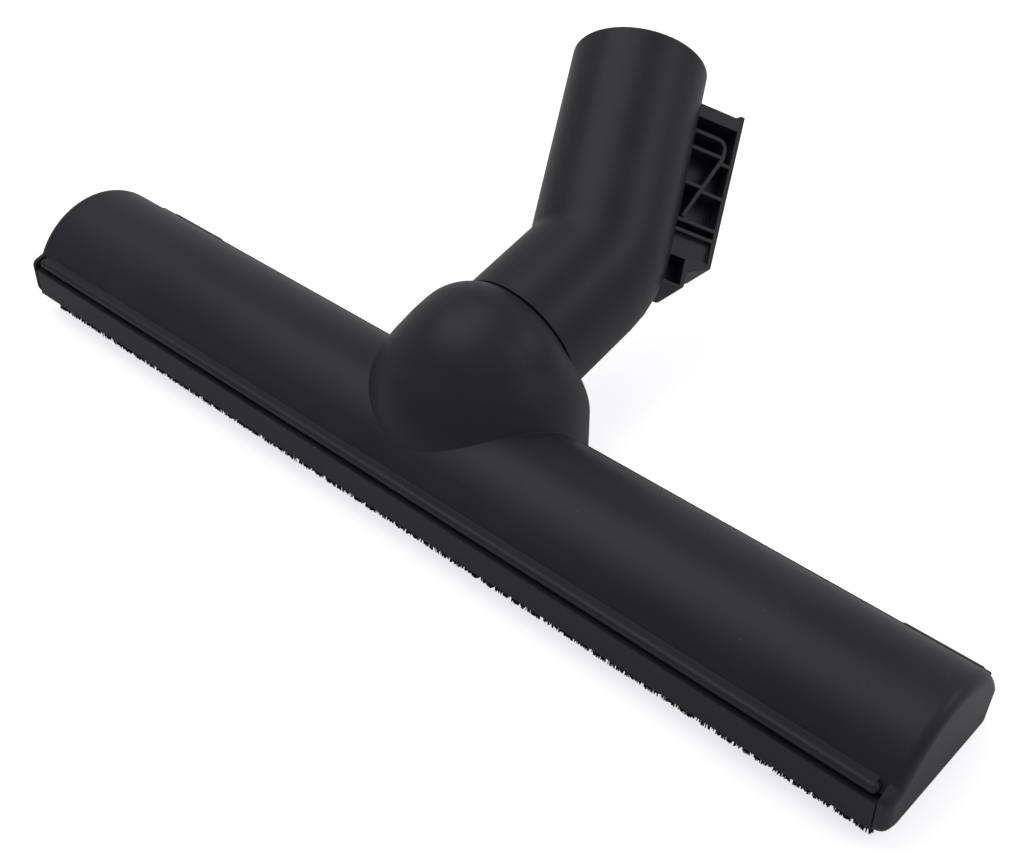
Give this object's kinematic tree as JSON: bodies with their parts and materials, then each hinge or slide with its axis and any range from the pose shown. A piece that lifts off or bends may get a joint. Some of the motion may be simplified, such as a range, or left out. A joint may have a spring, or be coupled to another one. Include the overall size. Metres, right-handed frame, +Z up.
{
  "type": "vacuum floor brush head",
  "caption": "Long half-barrel hard-floor brush head with a domed neck, swivelling wand elbow with ribbed parking hook, bristle strips and rear rollers.",
  "frame": {"origin": "on the floor, under the barrel's axis at the middle of the head's length", "axes": "+X along the head, +Y from the front band back to the neck, +Z up"},
  "size_m": [0.3, 0.1508, 0.0902],
  "materials": {
    "housing": "fine satin moulded charcoal plastic",
    "sole": "satin moulded charcoal plastic",
    "elbow": "fine satin moulded charcoal plastic",
    "clip": "natural moulded plastic",
    "seal": "matte rubber",
    "backing": "extruded black plastic",
    "bristle": "black nylon filament",
    "screw": "zinc-plated steel",
    "hub": "moulded plastic",
    "tread": "soft matte rubber",
    "pin": "drawn steel"
  },
  "bodies": {
    "head": {"upper_housing": "housing", "base_plate": "sole", "front_brush_backing": "backing", "rear_brush_backing": "backing", "front_bristles": "bristle", "rear_bristles": "bristle", "base_screws": "screw", "left_roller_axle": "pin", "right_roller_axle": "pin"},
    "elbow": {"swivel_elbow": "elbow", "swivel_retaining_ring": "clip", "neck_seal_ring": "seal"},
    "left_roller": {"left_roller_hub": "hub", "left_roller_tyre": "tread"},
    "right_roller": {"right_roller_hub": "hub", "right_roller_tyre": "tread"}
  },
  "joints": [
    {"name": "neck_swivel", "type": "hinge", "parent": "head", "child": "elbow", "pos_m": [0, 0.0117, 0.0283], "axis": [0, 0.9728, 0.2317], "continuous": true},
    {"name": "left_roller_spin", "type": "hinge", "parent": "head", "child": "left_roller", "pos_m": [-0.1335, 0.021, 0.007], "axis": [1, 0, 0], "continuous": true},
    {"name": "right_roller_spin", "type": "hinge", "parent": "head", "child": "right_roller", "pos_m": [0.1335, 0.021, 0.007], "axis": [1, 0, 0], "continuous": true}
  ]
}
